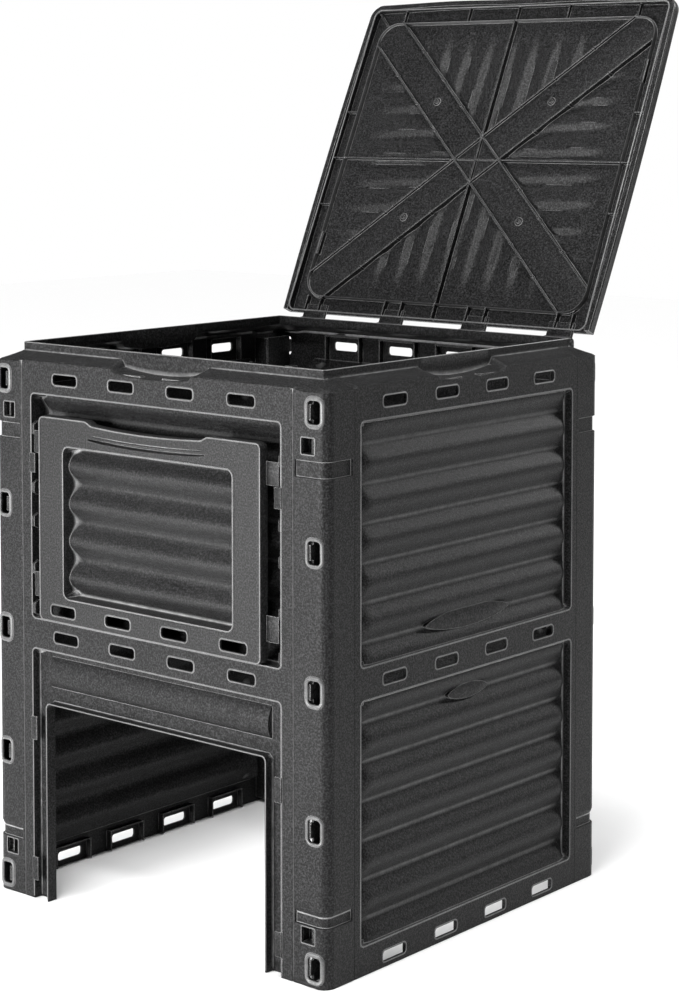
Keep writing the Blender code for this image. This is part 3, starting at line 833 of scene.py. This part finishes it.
def tongue_flange(shape, front):
    """Inner flange of a side panel whose tongues stand in the post loops."""
    low_end, high_end = FLANGE_Z
    stops = [(z - TONGUE_HALF, z + TONGUE_HALF, TONGUE_END) for z in LOOP_Z]
    stops += [(low - NOTCH_MARGIN, high + NOTCH_MARGIN, NOTCH_END) for low, high in GROOVES]
    outline = [(FLANGE_ROOT, low_end), (FLANGE_END, low_end)]
    for low, high, out in sorted(stops):
        outline += [(FLANGE_END, low), (out, low), (out, high), (FLANGE_END, high)]
    outline += [(FLANGE_END, high_end), (FLANGE_ROOT, high_end)]
    inner = HALF_W - FLANGE_INSET
    shape.add(*prism([(front * a, b) for a, b in outline], inner, inner + FLANGE_THICK, facing))
    shape.add(*side_box(front, WEB, (inner, low_end + 0.5), (HALF_W - 0.5 * WALL, high_end - 0.5)))


def to_world(turn):
    """From a panel's own frame (x, outwards, z) in millimetres to the row frame."""
    flip = Matrix(((1, 0, 0, 0), (0, -1, 0, 0), (0, 0, 1, 0), (0, 0, 0, 1)))
    place = Matrix.Translation((0.0, BODY_Y * MM, 0.0)) @ Matrix.Rotation(math.radians(turn), 4, "Z")
    return place @ flip @ Matrix.Scale(MM, 4)


# ---------------------------------------------------------------- the emptying door

def door_top(x):
    half, drop = DOOR_DIP
    return DOOR_TOP - drop * scoop(x, half)


def crescent(x, z):
    """Finger groove below the door's dipped edge, with a crease above it."""
    half, ends, sag, thick = CRESCENT
    t = np.clip(np.abs(x) / half, 0.0, 1.0)
    line = ends - sag * (1.0 - t * t)
    opening = thick * np.sqrt(np.clip(1.0 - t ** 3, 0.0, 1.0)) + 1e-6
    groove = CRESCENT_DEPTH * smooth((1.0 - np.abs(z - line) / opening) * 1.6)
    crease = 1.2 * np.exp(-((z - line - CREASE_ABOVE) / 1.3) ** 2) * smooth((1.0 - t) * 6.0)
    return np.where(np.abs(x) < half, groove + crease, 0.0)


def door_edge(inset):
    """Outline of the door, inset from its edge, with the dip along the top."""
    low = DOOR_LOW[2] + inset
    high = DOOR_TOP - inset
    half = DOOR_HALF - inset
    steps = 6
    outline = rounded_outline(0.0, 0.5 * (low + high), 2.0 * half, high - low, DOOR_R - inset, steps)
    reach = half - DOOR_R
    top = [(a, high) for a in np.linspace(reach, -reach, 91)[1:-1]]
    outline = outline[:steps + 1] + top + outline[steps + 1:]
    half, drop = DOOR_DIP
    return [(a, b - (drop * float(scoop(a, half)) if b > high - 1.0 else 0.0)) for a, b in outline]


def emptying_door(materials):
    """Door in its parked place: a thin tray with a corrugated pan, slots and side lugs."""
    low = DOOR_LOW[2]
    half, in_low, in_high, in_r = DOOR_INNER
    pan_low, pan_high = in_low - DOOR_STEP, in_high + DOOR_STEP
    front_w = BODY_Y - DOOR_LOW[1]

    def depth(x, z):
        mask = inside(rounded_box(x, z, half, in_low, in_high, in_r), 2.6)
        step = inside(rounded_box(x, z, half + DOOR_STEP, pan_low, pan_high, in_r + DOOR_STEP), 1.6)
        return mask * wave(z, DOOR_CREST_Z, DOOR_PITCH, *DOOR_WAVE) + 0.5 * step + crescent(x, z)

    line_edges = [s * v for v in (half, half + DOOR_STEP, *DOOR_DIP_LINES) for s in (-1, 1)]
    lines = stations(line_edges, -DOOR_HALF + 2.0, DOOR_HALF - 2.0, 7.0)
    row_edges = [in_low, in_high, pan_high, pan_low, *DOOR_GROOVE_ROWS]
    rows = stations(row_edges, low + 2.0, DOOR_TOP - 2.0, 3.0)
    insets = np.array([inset for inset, _ in DOOR_RIM[:3]])
    xs = np.concatenate([insets - DOOR_HALF, lines, DOOR_HALF - insets[::-1]])
    zs = np.concatenate([low + insets, rows, DOOR_TOP - insets[::-1]])
    ring = np.minimum(np.minimum(from_ends(len(xs))[:, None], from_ends(len(zs))[None, :]), 3)
    back = np.array([d for _, d in DOOR_RIM])[ring]
    x, z = np.meshgrid(xs, zs, indexing="ij")
    x, z = round_corners(x, z, (-DOOR_HALF, DOOR_HALF), (low, DOOR_TOP), DOOR_R)
    drop = (DOOR_TOP - door_top(x)) * smooth((z - (DOOR_TOP - DOOR_BEND)) / DOOR_BEND)
    outer = np.stack([x, front_w - back - depth(x, z), z - drop], -1)
    inset_x = np.clip(x, -DOOR_HALF + WALL, DOOR_HALF - WALL)
    inset_z = np.clip(z, low + WALL, DOOR_TOP - WALL)
    inner_back = np.where(ring == 0, DOOR_THICK, WALL)
    inner = np.stack([inset_x, front_w - inner_back - depth(x, z), inset_z - drop], -1)
    door = as_object(Shape().add(*shell(outer, inner)), "door_shell")
    cutters = Shape()
    beads = Shape()
    for at in DOOR_SLOTS:
        outline = rounded_outline(at, DOOR_SLOT_Z, *SLOT_SIZE)
        cutters.add(*prism(outline, front_w - 9.0, front_w + 9.0, facing))
        flat_bead(beads, rounded_outline(at, DOOR_SLOT_Z, *grown(SLOT_SIZE, SLOT_RIM)), front_w)
    flat_bead(beads, door_edge(1.6), front_w, 1.9, 0.6)
    pan = grown((2.0 * half, in_high - in_low, in_r), 1.7)
    flat_bead(beads, rounded_outline(0.0, 0.5 * (in_low + in_high), *pan), front_w, 1.8, 0.6)
    cut(door, cutters)
    details = Shape()
    for side in (-1, 1):
        for z_low, z_high in LUG_Z:
            details.add(*side_box(side, LUG_X, (LUG_W[0], z_low), (LUG_W[1], z_high)))
    piece = with_fittings("emptying_door_skin", door, details, beads, 0.7)
    finish_piece(piece, to_world(0.0), "emptying_door", "door", materials)


def round_corners(x, y, x_range, y_range, radius):
    """Pull the points of each square corner cell onto a rounded corner."""
    mid_x, mid_y = 0.5 * sum(x_range), 0.5 * sum(y_range)
    cx = 0.5 * (x_range[1] - x_range[0]) - radius
    cy = 0.5 * (y_range[1] - y_range[0]) - radius
    qx = np.maximum(np.abs(x - mid_x) - cx, 0.0)
    qy = np.maximum(np.abs(y - mid_y) - cy, 0.0)
    length = np.hypot(qx, qy)
    scale = np.where(length > 1e-6, np.maximum(qx, qy) / np.maximum(length, 1e-6), 1.0)
    new_x = mid_x + np.sign(x - mid_x) * (np.minimum(np.abs(x - mid_x), cx) + qx * scale)
    new_y = mid_y + np.sign(y - mid_y) * (np.minimum(np.abs(y - mid_y), cy) + qy * scale)
    return new_x, new_y


# ---------------------------------------------------------------- the lid

def lid_ripple(x, y):
    """Height of the pressed plate: ridges run towards the middle in each triangular field."""
    half, front, rear, _ = RING
    mid = 0.5 * (front + rear)
    deep = 0.5 * (rear - front)
    across = x / half
    along = (y - mid) / deep
    edge = smooth(-rounded_box(x, y, half - 4.0, front + 4.0, rear - 4.0, 30.0) / LID_FADE)
    bar = np.abs(np.abs(across) - np.abs(along)) * min(half, deep) * 0.72
    clear = smooth((bar - 24.0) / 14.0)
    facing_hinge = np.abs(along) > np.abs(across)
    run = np.where(facing_hinge, x + 0.03 * y, y - mid + 0.04 * x)
    turn = 2.0 * np.pi * run / LID_PITCH
    ridge = np.cos(turn) + 0.3 * np.cos(2.0 * turn + 0.9) + 0.22 * np.sin(0.37 * turn + 1.3)
    cross = np.minimum(smooth((np.abs(x) - 3.0) / 6.0), smooth((np.abs(y - mid) - 3.0) / 6.0))
    streak = 0.12 * np.cos(2.0 * np.pi * run / 7.3 + 0.05 * run)
    return LID_WAVE * (ridge + streak) * edge * clear * cross


def lid_piece(materials):
    """Lid drawn shut about its hinge, then turned to the open rest pose."""
    insets = np.array([inset for inset, _ in LID_EDGE])
    margin = LID_RIM + 1.5
    lines = stations([], margin - LID_HALF, LID_HALF - margin, LID_STEP)
    rows = stations([], LID_FRONT + margin, LID_REAR, LID_STEP)
    xs = np.concatenate([insets - LID_HALF, lines, LID_HALF - insets[::-1]])
    ys = np.concatenate([LID_FRONT + insets, rows])
    from_rim = np.minimum(from_ends(len(xs))[:, None], np.arange(len(ys))[None, :])
    ring = np.minimum(from_rim, len(LID_EDGE))
    level = np.array([z for _, z in LID_EDGE] + [LID_TOP])[ring]
    flat_x, flat_y = np.meshgrid(xs, ys, indexing="ij")
    along = (flat_y - 0.5 * (LID_FRONT + LID_REAR)) / (0.5 * (LID_REAR - LID_FRONT))
    across = flat_x / LID_HALF
    swell_x = LID_BULGE[0] * (1.0 - along ** 2) * across ** 5
    two_swells = 0.7 + 0.3 * (1.0 - np.cos(2.0 * np.pi * across))
    swell_y = LID_BULGE[1] * (1.0 - across ** 2) * two_swells * np.minimum(along, 0.0) ** 5
    ripple = lid_ripple(flat_x, flat_y) * (ring == len(LID_EDGE))
    rear = LID_REAR + LID_R
    x, y = round_corners(flat_x, flat_y, (-LID_HALF, LID_HALF), (LID_FRONT, rear), LID_R)
    outer = np.stack([x + swell_x, y + swell_y, level + ripple], -1)
    inner_half = LID_HALF - LID_RIM
    inner_front = LID_FRONT + LID_RIM
    inner_r = LID_R - LID_RIM
    x, y = round_corners(np.clip(flat_x, -inner_half, inner_half), np.maximum(flat_y, inner_front),
                         (-inner_half, inner_half), (inner_front, rear), inner_r)
    inner = np.stack([x + swell_x, y + swell_y, level * LID_UNDER / LID_TOP + ripple], -1)
    plate = as_object(Shape().add(*shell(outer, inner)), "lid_plate")
    details = Shape()
    lid_ribs(details)
    lid_bars(details)
    for centre in KNUCKLE_X:
        lid_knuckle(details, centre)
    beads = Shape()
    outline = rounded_outline(0.0, 0.5 * (inner_front + LID_REAR), 2.0 * inner_half, LID_REAR - inner_front,
                              inner_r, 8)
    beads.add(*tube([((a, b, 0.6), (0.0, 0.0, 1.0)) for a, b in outline], 2.4, 1.2))
    beads.add(*lid_ring())
    piece = with_fittings("lid_skin", made_of(plate, PLAIN), details, beads, 0.5)
    place = Matrix.Translation((0.0, HINGE_Y * MM, HINGE_Z * MM))
    matrix = place @ Matrix.Rotation(-math.radians(LID_OPEN), 4, "X") @ Matrix.Scale(MM, 4)
    finish_piece(piece, matrix, "lid", "lid", materials)


def lid_ring():
    """Upright rib round the middle of the lid, with rounded corners."""
    half, front, rear, radius = RING
    outline = rounded_outline(0.0, 0.5 * (front + rear), 2.0 * half, rear - front, radius, 10)
    return tube([((a, b, LID_UNDER - 3.0), (0.0, 0.0, 1.0)) for a, b in outline], 3.0, 6.0, True, 4)


def lid_ribs(shape):
    """Short ribs from the ring out to the rim, a clip on each side, and the two centre ribs."""
    half, front, rear, _ = RING
    mid = 0.5 * (front + rear)
    top = LID_UNDER + 1.0
    low = LID_UNDER - SHORT_RIB_DROP
    for x in REAR_RIB_X:
        shape.add(*box((x - 1.0, rear, LID_UNDER - RIB_DROP), (x + 1.0, LID_REAR - 2.0, top)))
    for x in FRONT_RIB_X:
        shape.add(*box((x - 1.0, LID_FRONT + 3.0, low), (x + 1.0, front, top)))
    clip_x = (half - 1.5 - CLIP_HALF[0], half - 1.5 + CLIP_HALF[0])
    for side in (-1, 1):
        for step in SIDE_RIB_Y:
            y = mid + step
            shape.add(*side_box(side, (half, LID_HALF - 3.0), (y - 1.0, low), (y + 1.0, top)))
        y = mid - side * CLIP_Y
        shape.add(*side_box(side, clip_x, (y - CLIP_HALF[1], LID_UNDER - CROSS_RIB_DROP),
                            (y + CLIP_HALF[1], top)))
    shape.add(*box((-1.4, front, LID_UNDER - RIB_DROP), (1.4, rear, top)))
    shape.add(*box((-half, mid - 1.2, LID_UNDER - CROSS_RIB_DROP), (half, mid + 1.2, top)))


def lid_bars(shape):
    """The two flat strips that cross under the plate, framed by thin ribs, with small bosses."""
    half, front, rear, _ = RING
    mid = 0.5 * (front + rear)
    turn = math.atan2(0.5 * (rear - front), half)
    reach = math.hypot(half, 0.5 * (rear - front)) - 13.0
    end = reach - 14.0
    for k, side in enumerate((-1, 1)):
        cos, sin = math.cos(side * turn), math.sin(side * turn)

        def place(a, b, level):
            return (a * cos - b * sin, a * sin + b * cos + mid, level)

        low = LID_UNDER - BAR_DROP + 0.3 * k
        strip = rounded_outline(0.0, 0.0, 2.0 * reach, 2.0 * BAR_HALF, BAR_HALF - 2.0, 8)
        shape.add(*prism(strip, low, LID_UNDER + 1.5, place))
        for line in (-BAR_HALF, BAR_HALF):
            rib = [(-end, line - 1.1), (end, line - 1.1), (end, line + 1.1), (-end, line + 1.1)]
            shape.add(*prism(rib, LID_UNDER - RIB_DROP - 0.4 * k, LID_UNDER + 1.4, place))
            for share in KNOTS:
                knot = rounded_outline(share * reach, line, 4.4, 4.0, 1.6, 3)
                shape.add(*prism(knot, LID_UNDER - RIB_DROP - 1.0, LID_UNDER + 1.3, place))
        for at in (-BOSS_AT, BOSS_AT):
            washer = rounded_outline(at, 0.0, 13.0, 13.0, 6.4, 6)
            shape.add(*prism(washer, low - 0.7, low + 1.0, place))
            boss = rounded_outline(at, 0.0, 6.5, 6.5, 3.2, 5)
            shape.add(*prism(boss, low - 3.0, low + 1.0, place))
    corner = [(-262.0, front + 4.0), (-260.4, front + 2.4), (-283.4, LID_FRONT + 9.0),
              (-285.0, LID_FRONT + 10.6)]
    shape.add(*prism(corner, LID_UNDER - SHORT_RIB_DROP, LID_UNDER + 1.4, upright))


def lid_knuckle(shape, centre):
    """Arm that carries the barrel on the hinge axis."""
    low = centre - KNUCKLE_HALF
    high = centre + KNUCKLE_HALF
    shape.add(*prism(KNUCKLE_ARM, low, high, crosswise))
    shape.add(*rod(BARREL_R, low, high, (0.0, 0.0)))


def hinge_pin(index, centre, materials):
    reach = KNUCKLE_HALF + EAR_GAP + EAR_THICK + PIN_PAST_EAR
    shape = Shape().add(*rod(PIN_R, -reach, reach, (0.0, 0.0)))
    piece = bevelled(shape, f"hinge_pin_skin_{index}", 0.8)
    matrix = Matrix.Translation((centre * MM, HINGE_Y * MM, HINGE_Z * MM)) @ Matrix.Scale(MM, 4)
    finish_piece(piece, matrix, f"hinge_pin_{index}", "bin", materials)


# ---------------------------------------------------------------- materials

def node(tree, kind, **settings):
    made = tree.nodes.new(kind)
    for key, value in settings.items():
        setattr(made, key, value)
    return made


def noise(tree, vector, scale, detail=4.0, rough=0.6):
    made = node(tree, "ShaderNodeTexNoise")
    made.inputs["Scale"].default_value = scale
    made.inputs["Detail"].default_value = detail
    made.inputs["Roughness"].default_value = rough
    tree.links.new(vector, made.inputs["Vector"])
    return made.outputs["Fac"]


def ramp(tree, value, low, high, start=0.0, end=1.0):
    made = node(tree, "ShaderNodeMapRange")
    for name, number in (("From Min", start), ("From Max", end), ("To Min", low), ("To Max", high)):
        made.inputs[name].default_value = number
    tree.links.new(value, made.inputs["Value"])
    return made.outputs["Result"]


def times(tree, first, second):
    made = node(tree, "ShaderNodeMath", operation="MULTIPLY")
    tree.links.new(first, made.inputs[0])
    tree.links.new(second, made.inputs[1])
    return made.outputs["Value"]


def mix_colours(tree, factor, low, high):
    """Colour mix; low and high are sockets or plain colours."""
    made = node(tree, "ShaderNodeMix", data_type="RGBA")
    tree.links.new(factor, made.inputs["Factor"])
    for name, value in (("A", low), ("B", high)):
        if isinstance(value, bpy.types.NodeSocket):
            tree.links.new(value, made.inputs[name])
        else:
            made.inputs[name].default_value = (*value, 1.0)
    return made.outputs["Result"]


def painted_edge_highlight(tree, radius, dense):
    """1 along edges, where a pale highlight is painted as if the edges catch light; a dense mesh adds its
    crests as painted glints.
    """
    geometry = node(tree, "ShaderNodeNewGeometry")
    rounded = node(tree, "ShaderNodeBevel", samples=4)
    rounded.inputs["Radius"].default_value = radius
    facing = node(tree, "ShaderNodeVectorMath", operation="DOT_PRODUCT")
    tree.links.new(rounded.outputs["Normal"], facing.inputs[0])
    tree.links.new(geometry.outputs["Normal"], facing.inputs[1])
    edge = ramp(tree, facing.outputs["Value"], 1.0, 0.0, 0.72, 0.985)
    if not dense:
        return edge
    outward = ramp(tree, geometry.outputs["Pointiness"], 0.0, 1.0, 0.47, 0.52)
    # Crests of a dense mesh are painted pale as glints.
    crest = ramp(tree, geometry.outputs["Pointiness"], 0.0, 1.0, 0.52, 0.575)
    both = node(tree, "ShaderNodeMath", operation="MAXIMUM")
    tree.links.new(times(tree, edge, outward), both.inputs[0])
    tree.links.new(crest, both.inputs[1])
    return both.outputs["Value"]


def moulded_plastic(name, dense, dark, light, roughness, grain, specular, highlight_colour):
    """Black moulded polypropylene: fine grain, cloudy sheen, pale specks, and a painted highlight along
    edges.
    """
    mat = bpy.data.materials.new(name)
    mat.use_nodes = True
    tree = mat.node_tree
    shader = tree.nodes["Principled BSDF"]
    where = node(tree, "ShaderNodeTexCoord").outputs["Object"]
    cloud = noise(tree, where, 9.0, 5.0)
    fine = noise(tree, where, 900.0, 3.0, 0.7)
    speck = noise(tree, where, 420.0, 2.0, 0.5)
    highlight_noise = noise(tree, where, 60.0, 6.0, 0.75)
    base = mix_colours(tree, ramp(tree, cloud, 0.0, 1.0, 0.3, 0.7), dark, light)
    specked = mix_colours(tree, ramp(tree, speck, 0.0, 1.0, 0.42, 0.75), base, (0.04, 0.04, 0.041))
    # Painted highlight: edges, and crests on a dense mesh, are mixed towards a pale colour, broken up by
    # noise.
    edge_highlight = times(tree, painted_edge_highlight(tree, 0.0017, dense), ramp(tree, highlight_noise, 0.45, 1.0, 0.35, 0.65))
    tree.links.new(mix_colours(tree, edge_highlight, specked, highlight_colour), shader.inputs["Base Color"])
    sheen = mix_colours(tree, ramp(tree, fine, 0.0, 1.0, 0.35, 0.65),
                  (roughness - 0.12,) * 3, (roughness + 0.12,) * 3)
    tree.links.new(sheen, shader.inputs["Roughness"])
    shader.inputs["Specular IOR Level"].default_value = specular
    grains = node(tree, "ShaderNodeMath", operation="ADD")
    tree.links.new(fine, grains.inputs[0])
    tree.links.new(speck, grains.inputs[1])
    bump = node(tree, "ShaderNodeBump")
    bump.inputs["Strength"].default_value = grain
    bump.inputs["Distance"].default_value = 0.0006
    tree.links.new(grains.outputs["Value"], bump.inputs["Height"])
    tree.links.new(bump.outputs["Normal"], shader.inputs["Normal"])
    return mat


def pale_floor():
    mat = bpy.data.materials.new("pale_floor")
    mat.use_nodes = True
    shader = mat.node_tree.nodes["Principled BSDF"]
    shader.inputs["Base Color"].default_value = (0.93, 0.93, 0.93, 1.0)
    shader.inputs["Roughness"].default_value = 0.9
    shader.inputs["Specular IOR Level"].default_value = 0.1
    return mat


# ---------------------------------------------------------------- studio

SKY_FILL = 0.06
# Name, place, aim, size in metres and power in watts.
AREA_LIGHTS = (
    ("key", (-0.7, -3.1, 0.6), (0.0, 0.0, 0.5), (1.2, 1.3), 165.0),
    ("rim", (1.5, 3.1, 2.1), (0.0, 0.0, 0.5), (0.6, 0.6), 62.0),
    ("front_top", (0.6, -2.0, 3.2), (0.0, 0.2, 1.0), (1.2, 0.4), 60.0),
)


def area_light(name, place, aim, size, power):
    data = bpy.data.lights.new(name, "AREA")
    data.shape = "RECTANGLE"
    data.size, data.size_y = size
    data.energy = power
    light = linked(name, data)
    light.location = place
    light.rotation_euler = (Vector(aim) - Vector(place)).to_track_quat("-Z", "Y").to_euler()


def studio():
    floor = as_object(Shape().add(*box((-9000, -9000, -30), (9000, 9000, -0.5))), "floor")
    floor.data.transform(Matrix.Scale(MM, 4))
    floor.data.materials.append(pale_floor())
    world = bpy.data.worlds.new("studio")
    world.use_nodes = True
    sky = world.node_tree.nodes["Background"]
    sky.inputs["Color"].default_value = (1.0, 1.0, 1.0, 1.0)
    seen = node(world.node_tree, "ShaderNodeLightPath").outputs["Is Camera Ray"]
    world.node_tree.links.new(ramp(world.node_tree, seen, SKY_FILL, 1.0), sky.inputs["Strength"])
    bpy.context.scene.world = world
    sun = bpy.data.lights.new("overhead", "SUN")
    sun.energy = 3.2
    sun.angle = math.radians(25.0)
    linked("overhead", sun)
    for light in AREA_LIGHTS:
        area_light(*light)


def camera():
    data = bpy.data.cameras.new("camera")
    data.lens = 83.81
    data.sensor_width = 36.0
    data.shift_x = 0.0068
    data.shift_y = -0.25
    data.clip_end = 60.0
    cam = linked("camera", data)
    cam.location = (2.1765, -2.4706 + BODY_Y * MM, 1.112)
    cam.rotation_euler = (math.radians(86.546), 0.0, math.radians(40.548))
    bpy.context.scene.camera = cam


# Dark and light base colour, roughness, grain, specular level and the colour of the painted edge highlight.
LOOKS = {
    "body": ((0.005,) * 3, (0.008,) * 3, 0.43, 0.6, 0.12, (0.5,) * 3),
    "door": ((0.006,) * 3, (0.01,) * 3, 0.43, 0.55, 0.17, (0.5,) * 3),
    "lid": ((0.004,) * 3, (0.006,) * 3, 0.36, 0.35, 0.17, (0.4,) * 3),
    "pin": ((0.006,) * 3, (0.01,) * 3, 0.4, 0.15, 0.3, (0.08,) * 3),
}


def materials_of(key):
    """A piece's materials, in the order of FINE, PLAIN and RIM; a pin has no rims."""
    look = LOOKS[key]
    made = [moulded_plastic(f"{key}_plastic_fine", True, *look),
            moulded_plastic(f"{key}_plastic_plain", False, *look)]
    if key != "pin":
        # Rims get a lighter base colour and a brighter edge colour: a painted highlight where the beads
        # catch light.
        rim_highlight_look = ((0.05,) * 3, (0.12,) * 3, look[2], 0.2, 0.5, (0.3,) * 3)
        made.append(moulded_plastic(f"{key}_plastic_rim", False, *rim_highlight_look))
    return made


def main():
    bpy.context.scene.view_settings.view_transform = "Standard"
    body, door, cover, pins = (materials_of(key) for key in LOOKS)
    post_panel("front_panel_skin", "front_panel", 0.0, front_outer_depth, front_depth, True, body)
    post_panel("back_panel_skin", "back_panel", 180.0, back_outer_depth, wall_depth, False, body)
    side_panel("right_panel_skin", "right_panel", 90.0, body)
    side_panel("left_panel_skin", "left_panel", -90.0, body)
    emptying_door(door)
    lid_piece(cover)
    for index, centre in enumerate(KNUCKLE_X, start=1):
        hinge_pin(index, centre, pins)
    studio()
    camera()


main()
